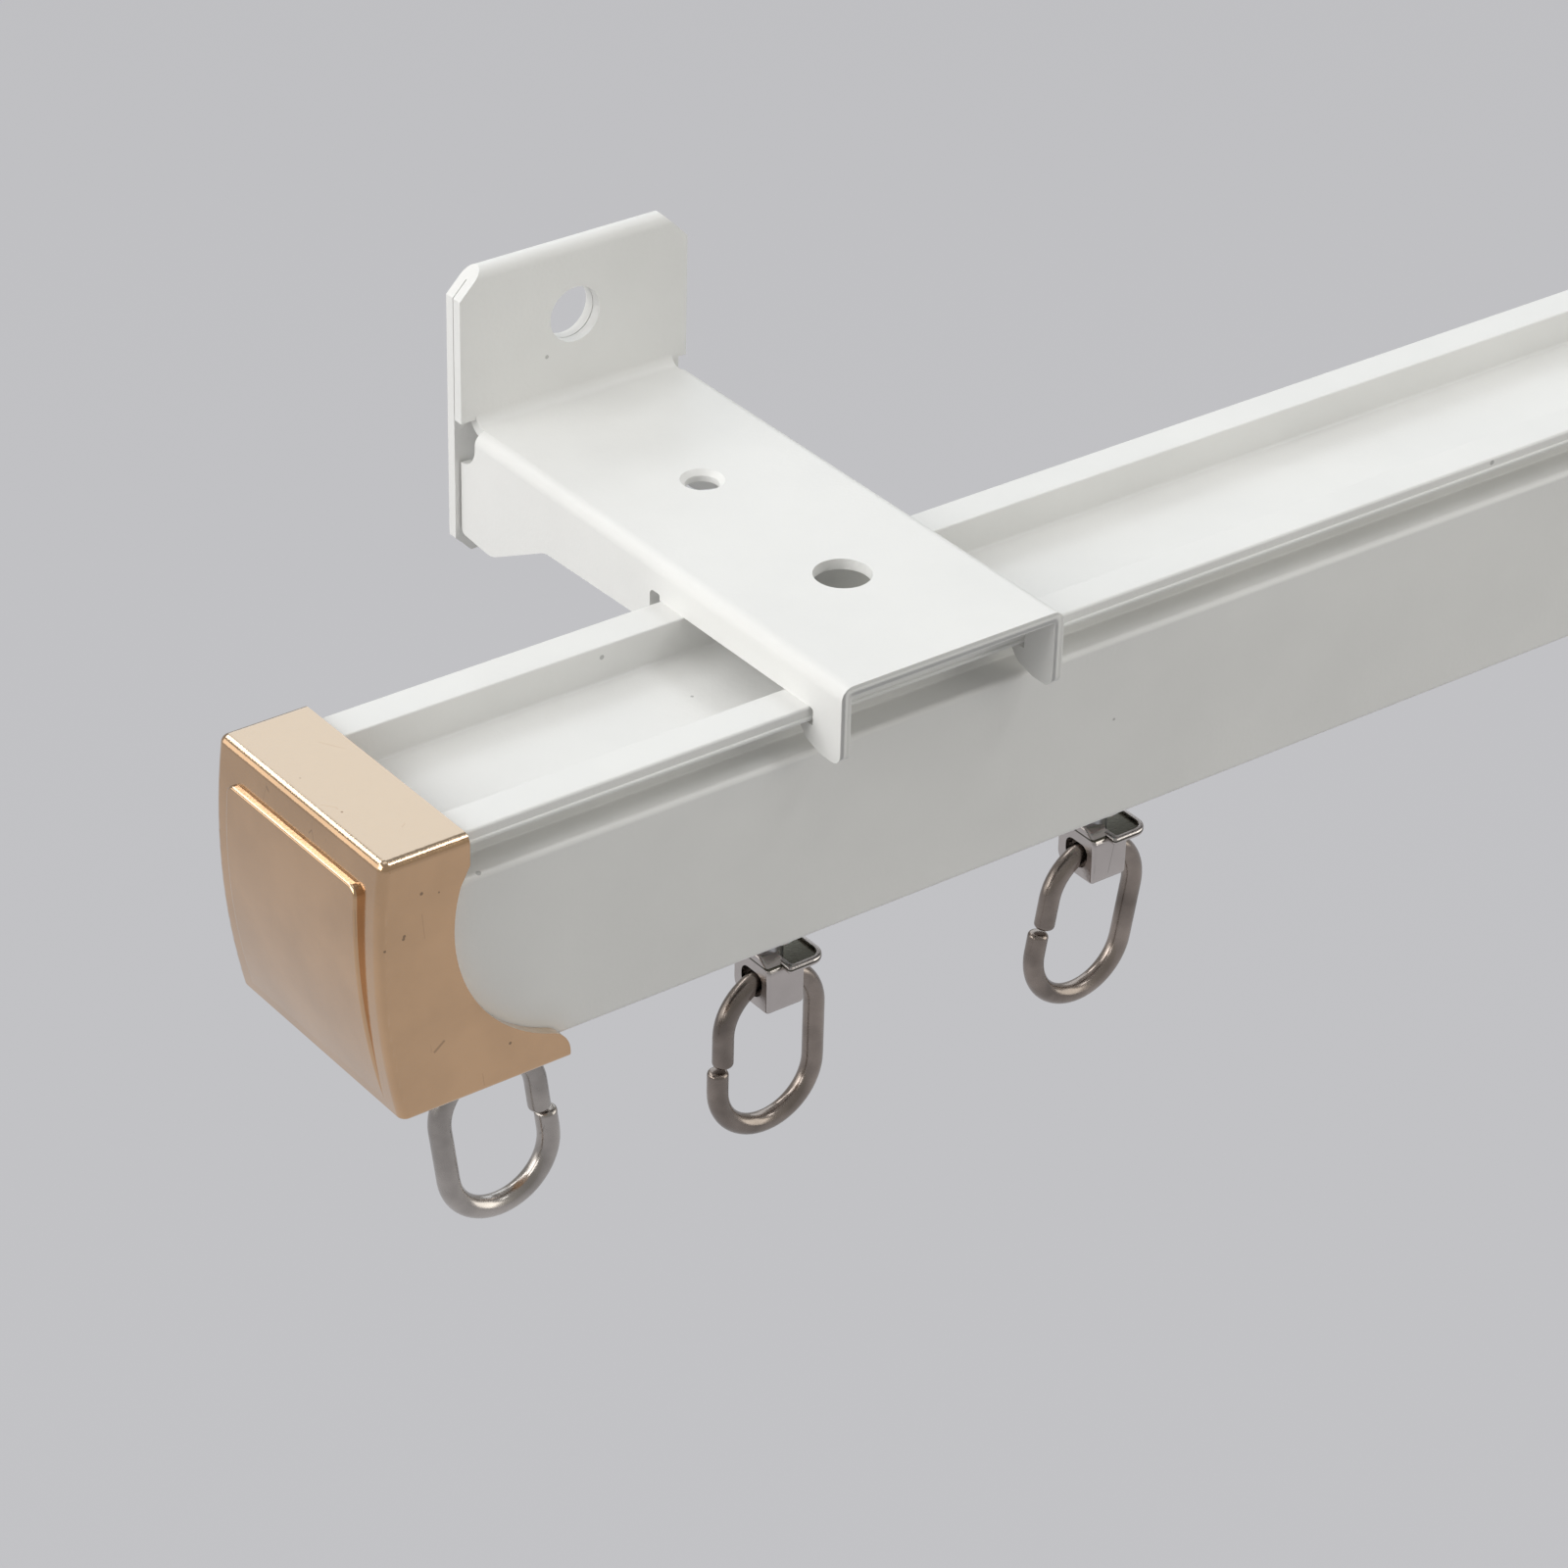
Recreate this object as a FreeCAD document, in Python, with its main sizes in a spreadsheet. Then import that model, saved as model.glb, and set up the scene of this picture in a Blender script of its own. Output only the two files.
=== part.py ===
import FreeCAD, Part
import math
import os
from types import SimpleNamespace

import Sketcher

# A wall-mounted curtain track: a white rail with ribs on top and a slot below, two plated end
# caps that each carry a wire ring, two folded sheet brackets, and four running gliders.
# Working frame of every piece: X along the rail, Y towards the wall with 0 on the rail's
# centre plane, Z up with 0 at the top of the end caps. The placements then put the origin
# midway between the two wall screws, on the wall.

# Driving sizes in millimetres, and angles in degrees
SIZES = {
    # Whole track
    "track_length": 300.0,
    "wall_distance": 41.4,
    "screw_rise": 10.6,
    "bracket_inset": 53.05,
    "outer_glider_inset": 46.2,
    "inner_glider_inset": 82.1,
    # Rail section
    "rail_width": 21.8,
    "rail_body_height": 18.0,
    "rail_wall": 1.0,
    "rail_corner": 0.5,
    "lip_width": 21.1,
    "lip_thickness": 1.3,
    "lip_bead": 0.22,
    "rib_gap": 13.86,
    "rib_wall": 1.0,
    "rib_height": 3.37,
    "ledge_depth": 3.95,
    "slot_width": 7.0,
    "slot_lip_height": 1.0,
    "slot_lip_wall": 0.8,
    # End cap
    "cap_width": 24.0,
    "cap_top_wall": 0.75,
    "cap_side_gap": 0.1,
    "cap_bottom_wall": 1.6,
    "cap_end_wall": 2.2,
    "cap_top_reach": 7.9,
    "cap_foot_reach": 17.25,
    "cap_end_rake": 1.3,
    "cap_end_bulge": 1.17,
    "cap_top_round": 0.8,
    "cap_edge_round": 0.4,
    "panel_top_drop": 3.05,
    "panel_foot_rise": 2.6,
    "panel_top_width": 18.8,
    "panel_foot_width": 19.9,
    "panel_step": 0.55,
    "panel_corner": 0.9,
    "panel_round": 0.25,
    "lug_inset": 17.2,
    "lug_drop": 7.0,
    "lug_thickness": 3.0,
    "lug_wall": 0.9,
    # Folded bracket
    "sheet": 1.0,
    "arm_width": 22.86,
    "arm_rise": 3.57,
    "bend_radius": 1.2,
    "hook_gap": 0.27,
    "hook_front": 3.68,
    "hook_tooth_height": 2.08,
    "hook_reach": 1.85,
    "rear_tooth_height": 1.2,
    "rear_tooth_reach": 1.35,
    "rear_hook_gap": 1.25,
    "web_depth": 7.55,
    "web_end_gap": 1.2,
    "relief_width": 1.3,
    "relief_radius": 2.2,
    "fold_gap": 0.1,
    "plate_width": 23.9,
    "plate_rise": 6.9,
    "plate_fall": 20.6,
    "plate_top_chamfer": 2.5,
    "plate_foot_chamfer": 1.6,
    "wall_hole": 5.2,
    "arm_hole": 5.0,
    "arm_hole_offset": 0.5,
    "pilot_hole": 3.0,
    "pilot_offset": 20.25,
    "pilot_dimple": 0.45,
    # Rings
    "ring_width": 11.6,
    "ring_height": 17.25,
    "ring_wire": 1.9,
    "ring_split_drop": 8.7,
    "ring_split_gap": 0.35,
    "ring_split_shift": 0.5,
    "ring_end_round": 0.4,
    "ring_lean": 9.5,
    "end_ring_width": 11.6,
    "end_ring_wire": 2.0,
    "end_ring_lean": 8.0,
    "eye_clearance": 0.12,
    # Hanger and its swivel
    "hanger_width": 3.9,
    "hanger_front_leg": 0.9,
    "hanger_rear_leg": 1.2,
    "hanger_foot": 1.0,
    "hanger_roof": 0.6,
    "hanger_pivot_drop": 11.25,
    "hanger_shoulder": 0.5,
    "hanger_edge_round": 0.3,
    "flange_reach": 3.8,
    "flange_width": 6.6,
    "flange_corner": 1.6,
    "flange_thickness": 0.7,
    "flange_edge_round": 0.25,
    "dish_depth": 0.3,
    "dish_rim": 0.45,
    "neck_gap": 1.7,
    "pin_radius": 1.1,
    "pin_fit": 0.06,
    "pin_head_radius": 1.8,
    "pin_head_height": 0.9,
    "swivel_gap": 0.3,
    # Carriage and wheels
    "carriage_length": 13.0,
    "carriage_width": 5.8,
    "carriage_height": 8.9,
    "carriage_foot": 0.6,
    "neck_radius": 2.4,
    "hub_radius": 2.1,
    "wheel_radius": 5.3,
    "wheel_width": 3.6,
    "wheel_gap": 0.3,
    "rolling_gap": 0.15,
    "axle_radius": 1.1,
    "axle_fit": 0.06,
    "axle_head_radius": 1.9,
    "axle_head_width": 0.7,
}

doc = FreeCAD.newDocument("CurtainTrack")
sheet = doc.addObject("Spreadsheet::Sheet", "Sizes")
for row, (name, number) in enumerate(SIZES.items(), start=1):
    sheet.set(f"A{row}", name)
    sheet.set(f"B{row}", str(number))
    sheet.setAlias(f"B{row}", name)
doc.recompute()
size = SimpleNamespace(**{name: float(sheet.get(name)) for name in SIZES})

# Levels and half widths that several pieces share
RIB_TOP = -size.cap_top_wall
LIP_UNDERSIDE = RIB_TOP - size.lip_thickness
LEDGE = RIB_TOP - size.ledge_depth
CHANNEL_FLOOR = RIB_TOP - size.rib_height
RAIL_BOTTOM = LEDGE - size.rail_body_height
TRACK_FLOOR = RAIL_BOTTOM + size.rail_wall
CAP_BOTTOM = RAIL_BOTTOM - size.cap_bottom_wall
LIP_EDGE = size.lip_width / 2
ARM_TOP = RIB_TOP + size.arm_rise
PIVOT = RAIL_BOTTOM - size.hanger_pivot_drop
LUG_PIVOT = CAP_BOTTOM - size.lug_drop

TO_RAIL = "-Sizes.wall_distance"
TO_CAP_TOP = "-Sizes.screw_rise"


def point(x, y):
    """A point in a sketch."""
    return FreeCAD.Vector(x, y, 0)


def line(start, end):
    """A straight sketch edge between two (x, y) pairs."""
    return Part.LineSegment(point(*start), point(*end))


def arc(start, middle, end):
    """A sketch arc through three (x, y) pairs."""
    return Part.Arc(point(*start), point(*middle), point(*end))


def rounded(corners):
    """A closed outline through (x, y, radius) corners, each rounded by a tangent arc."""
    cuts = []
    for index, (x, y, radius) in enumerate(corners):
        here = point(x, y)
        if radius == 0:
            cuts.append((here, None, here))
            continue
        before = (point(*corners[index - 1][:2]) - here).normalize()
        after = (point(*corners[(index + 1) % len(corners)][:2]) - here).normalize()
        half = before.getAngle(after) / 2
        inwards = (before + after).normalize()
        reach = radius / math.tan(half)
        middle = here + inwards * (radius / math.sin(half) - radius)
        cuts.append((here + before * reach, middle, here + after * reach))
    edges = []
    for index, (start, middle, end) in enumerate(cuts):
        if middle is not None:
            edges.append(Part.Arc(start, middle, end))
        following = cuts[(index + 1) % len(cuts)][0]
        if (following - end).Length > 1e-6:
            edges.append(Part.LineSegment(end, following))
    return edges


def mirrored(corners):
    """Corners of a right half, followed by their mirror images in reverse order."""
    return corners + [(-x, y, radius) for x, y, radius in reversed(corners)]


def add_body(name, x="0", y=TO_RAIL, z=TO_CAP_TOP, rotation=FreeCAD.Rotation()):
    """A named body whose place is given by three expressions."""
    body = doc.addObject("PartDesign::Body", name)
    body.Label = name
    body.Placement = FreeCAD.Placement(FreeCAD.Vector(), rotation)
    for axis, expression in zip("xyz", (x, y, z)):
        body.setExpression(f".Placement.Base.{axis}", expression)
    return body


def add_sketch(body, plane, edges, offset=0.0, at=(0.0, 0.0)):
    """A sketch on one of the body's own origin planes, lifted off it by an offset."""
    sketch = body.newObject("Sketcher::SketchObject", f"{body.Name}_sketch")
    support = next(f for f in body.Origin.OriginFeatures if f.Role == plane)
    sketch.AttachmentSupport = [(support, "")]
    sketch.MapMode = "FlatFace"
    sketch.AttachmentOffset = FreeCAD.Placement(FreeCAD.Vector(at[0], at[1], offset),
                                                FreeCAD.Rotation())
    sketch.addGeometry(edges)
    return sketch


def add_hole_sketch(body, plane, x, y, diameter, offset=0.0):
    """A sketch of one circle whose radius follows a named diameter in the sheet."""
    radius = getattr(size, diameter) / 2
    circle = Part.Circle(point(x, y), FreeCAD.Vector(0, 0, 1), radius)
    sketch = add_sketch(body, plane, [circle], offset)
    sketch.addConstraint(Sketcher.Constraint("Radius", 0, radius))
    sketch.renameConstraint(0, "bore")
    sketch.setExpression("Constraints.bore", f"Sizes.{diameter} / 2")
    return sketch


def pad(body, sketch, length, symmetric=True, backwards=False):
    """Material added over a length given by an expression."""
    feature = body.newObject("PartDesign::Pad", f"{body.Name}_pad")
    feature.Profile = sketch
    feature.SideType = "Symmetric" if symmetric else "One side"
    feature.Reversed = backwards
    feature.setExpression("Length", length)
    return feature


def pocket(body, sketch, length=None, backwards=False):
    """Material cut away, right through both ways unless a length is given."""
    feature = body.newObject("PartDesign::Pocket", f"{body.Name}_pocket")
    feature.Profile = sketch
    if length is None:
        feature.Type = "ThroughAll"
        feature.Midplane = True
    else:
        feature.Reversed = backwards
        feature.setExpression("Length", length)
    return feature


def revolve(body, sketch, axis="V_Axis", angle=360.0, backwards=False):
    """A turn of a sketch about one of its own axes, a full one unless an angle is given."""
    feature = body.newObject("PartDesign::Revolution", f"{body.Name}_turn")
    feature.Profile = sketch
    feature.ReferenceAxis = (sketch, [axis])
    feature.Angle = angle
    feature.Reversed = backwards
    return feature


def soften(body, base, radius, wanted):
    """A fillet on the edges of the base feature that pass a test."""
    doc.recompute()
    names = [f"Edge{n}" for n, edge in enumerate(base.Shape.Edges, start=1) if wanted(edge)]
    feature = body.newObject("PartDesign::Fillet", f"{body.Name}_fillet")
    feature.Base = (base, names)
    feature.setExpression("Radius", f"Sizes.{radius}")
    return feature


def make_rail():
    """The extruded rail: two lipped ribs on top, a hollow body and a slot along its bottom."""
    side = size.rail_width / 2
    inner = side - size.rail_wall
    rib_inner = size.rib_gap / 2
    rib_outer = rib_inner + size.rib_wall
    bead = size.lip_bead
    bead_centre = (LIP_EDGE - bead, LIP_UNDERSIDE + bead)
    lip_face = LIP_EDGE - 0.7 * bead
    slot = size.slot_width / 2
    slot_lip = slot + size.slot_lip_wall
    ceiling = LEDGE - size.rail_wall
    half = [
        (rib_inner, CHANNEL_FLOOR, 0.3),
        (rib_inner, RIB_TOP, 0.15),
        (lip_face, RIB_TOP, 0.25),
        (lip_face, bead_centre[1] + bead, 0),
        (LIP_EDGE, bead_centre[1] + 0.6 * bead, 0.12),
        (LIP_EDGE, LIP_UNDERSIDE, bead),
        (rib_outer, LIP_UNDERSIDE, 0.2),
        (rib_outer, LEDGE, 0.2),
        (side, LEDGE, size.rail_corner),
        (side, RAIL_BOTTOM, size.rail_corner),
        (slot, RAIL_BOTTOM, 0.3),
        (slot, TRACK_FLOOR + size.slot_lip_height, 0.25),
        (slot_lip, TRACK_FLOOR + size.slot_lip_height, 0.25),
        (slot_lip, TRACK_FLOOR, 0.2),
        (inner, TRACK_FLOOR, 0.4),
        (inner, ceiling, 0.4),
    ]
    body = add_body("rail")
    section = add_sketch(body, "YZ_Plane", rounded(mirrored(half)))
    pad(body, section, "Sizes.track_length - 2 * Sizes.cap_end_wall")


def end_face(level):
    """How far along the rail the cap's bowed end face lies at a level."""
    share = level / CAP_BOTTOM
    return size.cap_end_rake * share - 4 * size.cap_end_bulge * share * (1 - share)


def add_end_panel(body):
    """The panel raised on the end face, with a crisp upper edge and fading out at its foot."""
    top = -size.panel_top_drop
    foot = CAP_BOTTOM + size.panel_foot_rise
    sunk = CAP_BOTTOM + size.panel_foot_rise / 2
    back = 0.8 * size.cap_end_wall
    depth = back + 1.0 + size.panel_step + size.cap_end_bulge
    outline = rounded([
        (-size.panel_top_width / 2, top, size.panel_corner),
        (size.panel_top_width / 2, top, size.panel_corner),
        (size.panel_foot_width / 2, sunk, 0),
        (-size.panel_foot_width / 2, sunk, 0),
    ])
    pad(body, add_sketch(body, "YZ_Plane", outline, back), f"{depth}", symmetric=False, backwards=True)

    # The panel's face bows with the end face and sinks into it near the foot
    brow = (end_face(top) - size.panel_step, top + size.panel_step)
    middle = (top + foot) / 2
    crown = (end_face(middle) - 0.75 * size.panel_step, middle)
    sill = (end_face(sunk) + 0.1 * size.panel_step, sunk - size.panel_round)
    far = -depth
    face = pocket(body, add_sketch(body, "XZ_Plane", [
        arc(sill, crown, brow),
        line(brow, (far, brow[1])),
        line((far, brow[1]), (far, sill[1])),
        line((far, sill[1]), sill),
    ]))

    def on_rim(edge):
        return edge.BoundBox.XMax < back - 0.05 and edge.BoundBox.ZMax > foot

    soften(body, face, "panel_round", on_rim)


def make_end_cap(name, x, turn):
    """The plated cap over one end of the rail, with its raised end panel and its ring lug."""
    body = add_body(name, x=x, rotation=FreeCAD.Rotation(FreeCAD.Vector(0, 0, 1), turn))
    add_end_panel(body)
    top = (0.0, 0.0)
    foot = (size.cap_end_rake, CAP_BOTTOM)
    belly = (end_face(CAP_BOTTOM / 2), CAP_BOTTOM / 2)
    reach = size.cap_foot_reach
    tongue = CAP_BOTTOM + size.cap_bottom_wall + 1.3
    waist = size.cap_top_reach - 0.9
    outline = [
        arc(top, belly, foot),
        line(foot, (reach, CAP_BOTTOM)),
        line((reach, CAP_BOTTOM), (reach, CAP_BOTTOM + 0.6)),
        arc((reach, CAP_BOTTOM + 0.6), (reach - 0.45, tongue - 0.9), (reach - 1.6, tongue)),
        arc((reach - 1.6, tongue), (waist + 1.35, 0.64 * CAP_BOTTOM), (waist, 0.18 * CAP_BOTTOM)),
        line((waist, 0.18 * CAP_BOTTOM), (size.cap_top_reach, 0.11 * CAP_BOTTOM)),
        line((size.cap_top_reach, 0.11 * CAP_BOTTOM), (size.cap_top_reach, 0.0)),
        line((size.cap_top_reach, 0.0), top),
    ]
    shell = pad(body, add_sketch(body, "XZ_Plane", outline), "Sizes.cap_width")
    side = size.cap_width / 2

    def on_side(edge):
        return abs(abs(edge.BoundBox.Center.y) - side) < 0.01 and edge.BoundBox.YLength < 0.01

    def on_top_or_end(edge):
        box = edge.BoundBox
        on_top = abs(box.Center.z) < 0.01 and box.Center.x < waist
        upright = box.ZLength > 0.9 * abs(CAP_BOTTOM) and box.XMax < size.cap_end_wall
        return (on_top and (on_side(edge) or box.YLength > side)) or (upright and on_side(edge))

    def on_foot(edge):
        return on_side(edge) and abs(edge.BoundBox.ZMax - CAP_BOTTOM) < 0.01

    shell = soften(body, shell, "cap_top_round", on_top_or_end)
    shell = soften(body, shell, "cap_edge_round", on_foot)

    cavity_side = size.rail_width / 2 + size.cap_side_gap
    cavity = rounded(mirrored([(cavity_side, RIB_TOP, 0.3), (cavity_side, RAIL_BOTTOM, 0.3)]))
    pocket(body, add_sketch(body, "YZ_Plane", cavity, size.cap_end_wall), "Sizes.track_length",
           backwards=True)

    eye = eye_radius(size.end_ring_wire, size.end_ring_width, size.lug_thickness)
    lug = eye + size.lug_wall
    tab = [
        line((-lug, LUG_PIVOT), (-lug, CAP_BOTTOM + 0.5)),
        line((-lug, CAP_BOTTOM + 0.5), (lug, CAP_BOTTOM + 0.5)),
        line((lug, CAP_BOTTOM + 0.5), (lug, LUG_PIVOT)),
        arc((lug, LUG_PIVOT), (0, LUG_PIVOT - lug), (-lug, LUG_PIVOT)),
        Part.Circle(point(0, LUG_PIVOT), FreeCAD.Vector(0, 0, 1), eye),
    ]
    lug_start = size.lug_inset - size.lug_thickness / 2
    pad(body, add_sketch(body, "YZ_Plane", tab, lug_start), "Sizes.lug_thickness", symmetric=False)
    foot_plate = [(size.cap_foot_reach - 2, CAP_BOTTOM, 0), (lug_start + size.lug_thickness, CAP_BOTTOM, 0),
                  (lug_start + size.lug_thickness, RAIL_BOTTOM, 0.6), (size.cap_foot_reach - 2, RAIL_BOTTOM, 0)]
    pad(body, add_sketch(body, "XZ_Plane", rounded(foot_plate)), "Sizes.cap_width / 3")


def make_bracket(name, x):
    """One folded sheet: flanged arm with hook teeth, a bend, and a wall plate folded double."""
    body = add_body(name, x=x)
    half = size.arm_width / 2
    low = RIB_TOP - size.web_depth
    front = -(LIP_EDGE + size.hook_gap + size.hook_front)
    back = size.wall_distance - size.web_end_gap
    below = ARM_TOP - size.sheet
    channel = [
        (-half, low - 1, 0), (-half, ARM_TOP, size.bend_radius),
        (half, ARM_TOP, size.bend_radius), (half, low - 1, 0),
        (half - size.sheet, low - 1, 0), (half - size.sheet, below, size.bend_radius - size.sheet),
        (size.sheet - half, below, size.bend_radius - size.sheet), (size.sheet - half, low - 1, 0),
    ]
    pad(body, add_sketch(body, "XZ_Plane", rounded(channel), -back), f"{back - front}",
        symmetric=False)

    # Everything under the flanges' lower edge, from the front hook to the rear corner
    hook_top = LIP_UNDERSIDE - size.hook_gap
    hook_foot = hook_top - size.hook_tooth_height
    rear_foot = hook_top - size.rear_tooth_height
    rear = LIP_EDGE + size.rear_hook_gap
    outside = 2.0
    under = [
        (front - outside, low - outside, 0),
        (front - outside, hook_foot + 1.1, 0),
        (front, hook_foot + 1.1, 0),
        (front, hook_foot, 1.05),
        (-(LIP_EDGE + 0.75 * size.hook_reach), hook_foot, 1.0),
        (-(LIP_EDGE - 0.3 * size.hook_reach), hook_foot + 0.28 * size.hook_tooth_height, 1.0),
        (-(LIP_EDGE - size.hook_reach), hook_top, 0.1),
        (-(LIP_EDGE + size.hook_gap), hook_top, 0.15),
        (-(LIP_EDGE + size.hook_gap), RIB_TOP, 0.25),
        (LIP_EDGE - 0.15, RIB_TOP, 0.1),
        (LIP_EDGE - 0.15, RIB_TOP + 0.55, 0.2),
        (rear, RIB_TOP + 0.55, 0.5),
        (rear, hook_top, 0.15),
        (LIP_EDGE - size.rear_tooth_reach, hook_top, 0.35),
        (LIP_EDGE - size.rear_tooth_reach, rear_foot, 0.5),
        (0.68 * back, rear_foot - 0.5, 3.0),
        (0.885 * back, low, 3.0),
        (back, low + 0.4, 0.6),
        (back, low + 1.1, 0),
        (back + outside, low + 1.1, 0),
        (back + outside, low - outside, 0),
    ]
    pocket(body, add_sketch(body, "YZ_Plane", rounded(under)))
    relief_foot = ARM_TOP - 3.72
    relief = [
        (back - size.relief_radius, ARM_TOP + 1, 0),
        (back - size.relief_radius, relief_foot, size.relief_radius),
        (back + outside, relief_foot, 0),
        (back + outside, ARM_TOP + 1, 0),
    ]
    pocket(body, add_sketch(body, "YZ_Plane", rounded(relief)))

    wall = size.wall_distance
    plate_front = wall - 2 * size.sheet - size.fold_gap
    plate_back = plate_front + size.sheet
    bend_start = plate_front - 4.0
    bend_end = ARM_TOP + 2.4
    strip = rounded([
        (bend_start, ARM_TOP, 0), (plate_front, ARM_TOP, size.sheet), (plate_front, bend_end, 0),
        (plate_back, bend_end, 0), (plate_back, below, 2 * size.sheet), (bend_start, below, 0),
    ])
    pad(body, add_sketch(body, "YZ_Plane", strip), "Sizes.arm_width - 2 * Sizes.relief_width + 0.6")

    plate_top = size.screw_rise + size.plate_rise
    plate_foot = size.screw_rise - size.plate_fall
    sheet_start = ARM_TOP + 0.5
    round_fold = size.sheet + size.fold_gap / 2 - 0.01
    double = rounded([
        (plate_front, sheet_start, 0), (plate_front, plate_top, round_fold),
        (wall, plate_top, round_fold), (wall, plate_foot, 0),
        (wall - size.sheet, plate_foot, 0), (wall - size.sheet, plate_top - 1.1 * size.sheet, 0),
        (plate_back, plate_top - 1.1 * size.sheet, 0), (plate_back, sheet_start, 0),
    ])
    pad(body, add_sketch(body, "YZ_Plane", double), "Sizes.plate_width")

    side = size.plate_width / 2
    corners = []
    for sign in (-1, 1):
        for level, chamfer, slope in ((plate_top, size.plate_top_chamfer, -1),
                                      (plate_foot, size.plate_foot_chamfer, 1)):
            corners += rounded([
                (sign * (side + 1), level + slope * (chamfer + 1), 0),
                (sign * (side + 1), level - slope, 0),
                (sign * (side - chamfer - 1), level - slope, 0),
            ])
    pocket(body, add_sketch(body, "XZ_Plane", corners, -wall - 1), f"{4 * size.sheet}",
           backwards=True)

    screw = add_hole_sketch(body, "XZ_Plane", 0, size.screw_rise, "wall_hole", -wall - 1)
    pocket(body, screw, f"{4 * size.sheet}", backwards=True)
    pocket(body, add_hole_sketch(body, "XY_Plane", 0, size.arm_hole_offset, "arm_hole"))
    cut = pocket(body, add_hole_sketch(body, "XY_Plane", 0, size.pilot_offset, "pilot_hole"))
    doc.recompute()
    rim = [f"Edge{n}" for n, edge in enumerate(cut.Shape.Edges, start=1)
           if edge.BoundBox.ZLength < 0.01 and abs(edge.BoundBox.ZMax - ARM_TOP) < 0.01
           and abs(edge.BoundBox.Center.y - size.pilot_offset) < 0.01
           and edge.BoundBox.XLength < size.pilot_hole + 0.1]
    dimple = body.newObject("PartDesign::Chamfer", f"{name}_dimple")
    dimple.Base = (cut, rim)
    dimple.setExpression("Size", "Sizes.pilot_dimple")


def eye_radius(wire, width, thickness):
    """Half width of an eye that a curved ring of this wire swings in without touching."""
    bend = (width - wire) / 2
    drop = bend - math.sqrt(bend ** 2 - (thickness / 2) ** 2)
    return wire / 2 + drop + size.eye_clearance


def make_ring(name, x, z, wire, width, turn=0.0, lean=0.0):
    """A ring of bent wire, hanging from the middle of its top arc, its split on the left."""
    rotation = FreeCAD.Rotation(FreeCAD.Vector(0, 0, 1), turn)
    rotation = rotation * FreeCAD.Rotation(FreeCAD.Vector(0, 1, 0), lean)
    body = add_body(name, x=x, z=z, rotation=rotation)
    bend = (width - wire) / 2
    foot_bend = bend + size.ring_split_shift / 2
    foot_centre = (-size.ring_split_shift / 2, -(size.ring_height - wire - foot_bend))
    split = -size.ring_split_drop + wire / 2
    end = split - size.ring_split_gap
    path = [
        line((-bend, split), (-bend, -bend)),
        arc((-bend, -bend), (0, 0), (bend, -bend)),
        line((bend, -bend), (bend, foot_centre[1])),
        arc((bend, foot_centre[1]), (foot_centre[0], foot_centre[1] - foot_bend),
            (foot_centre[0] - foot_bend, foot_centre[1])),
        line((foot_centre[0] - foot_bend, foot_centre[1]), (foot_centre[0] - foot_bend, end)),
    ]
    spine = add_sketch(body, "XZ_Plane", path)
    section = add_sketch(body, "XY_Plane",
                         [Part.Circle(point(0, 0), FreeCAD.Vector(0, 0, 1), wire / 2)],
                         split, at=(-bend, 0.0))
    pipe = body.newObject("PartDesign::AdditivePipe", f"{name}_wire")
    pipe.Profile = section
    pipe.Spine = (spine, [f"Edge{n}" for n in range(1, len(path) + 1)])

    def on_wire_end(edge):
        box = edge.BoundBox
        return box.XMax < 0 and box.ZLength < 0.01 and min(abs(box.ZMax - split), abs(box.ZMax - end)) < 0.01

    soften(body, pipe, "ring_end_round", on_wire_end)


def make_glider(number, x, lean_sign):
    """One glider: carriage on two wheels, and a swivelling hanger with its ring."""
    make_carriage(f"carriage_{number}", x)
    make_axle(f"axle_{number}", x)
    make_wheel(f"wheel_front_{number}", x, 180.0)
    make_wheel(f"wheel_rear_{number}", x, 0.0)
    make_pin(f"swivel_pin_{number}", x)
    make_hanger(f"hanger_{number}", x)
    bend = "(Sizes.ring_width - Sizes.ring_wire) / 2"
    angle = f"({lean_sign} * Sizes.ring_lean * 1 deg)"
    make_ring(f"ring_{number}", f"{x} + {bend} * sin{angle}",
              f"{TO_CAP_TOP} + {PIVOT} - {bend} * (1 - cos{angle})",
              size.ring_wire, size.ring_width, lean=lean_sign * size.ring_lean)


AXLE_LEVEL = TRACK_FLOOR + size.rolling_gap + size.wheel_radius
AXLE_HEIGHT = f"{TO_CAP_TOP} + {AXLE_LEVEL}"
CARRIAGE_FOOT = RAIL_BOTTOM - size.carriage_foot
CARRIAGE_SIDE = size.carriage_width / 2
WHEEL_INNER = size.slot_width / 2 + size.slot_lip_wall + 1.3 * size.wheel_gap
WINDOW = eye_radius(size.ring_wire, size.ring_width, size.hanger_width)
WINDOW_ROOF = PIVOT + size.ring_wire / 2 + size.eye_clearance
FLANGE_FOOT = WINDOW_ROOF + size.hanger_roof
FLANGE_TOP = FLANGE_FOOT + size.flange_thickness
HEAD_SEAT = AXLE_LEVEL - size.axle_radius - size.pin_head_height - 2 * size.swivel_gap
NECK_FOOT = FLANGE_TOP + size.neck_gap


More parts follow.
